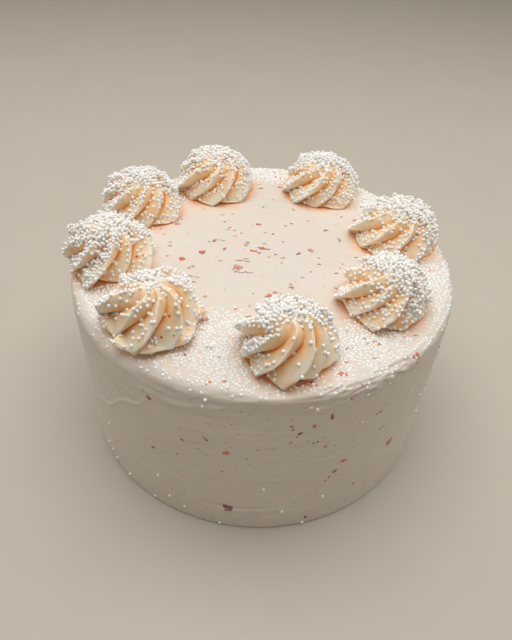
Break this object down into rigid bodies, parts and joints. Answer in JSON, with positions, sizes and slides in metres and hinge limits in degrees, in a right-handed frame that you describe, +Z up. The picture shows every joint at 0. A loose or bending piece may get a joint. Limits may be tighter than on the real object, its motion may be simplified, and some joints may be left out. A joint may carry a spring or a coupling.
{
  "type": "white chocolate cake",
  "caption": "Tall round cake in smooth pale frosting, with a ring of piped frosting swirls on its top and white sugar pearls scattered over them.",
  "frame": {"origin": "middle of the flat underside of the cake", "axes": "+Z up out of the cake's top, -Y towards the front that the picture shows, +X to its right"},
  "size_m": [0.1939, 0.1919, 0.1263],
  "materials": {
    "frosting": "smooth spatula-spread buttercream, soft satin, warm off-white with red and orange fruit flecks",
    "piped_frosting": "piped buttercream, soft satin, pale apricot that deepens to orange in the grooves"
  },
  "bodies": {
    "root": {"frosted_cake": "frosting", "swirl_front": "piped_frosting", "swirl_front_left": "piped_frosting", "swirl_left": "piped_frosting", "swirl_back_left": "piped_frosting", "swirl_back_mid_left": "piped_frosting", "swirl_back_mid_right": "piped_frosting", "swirl_right_back": "piped_frosting", "swirl_right_front": "piped_frosting"}
  },
  "joints": []
}
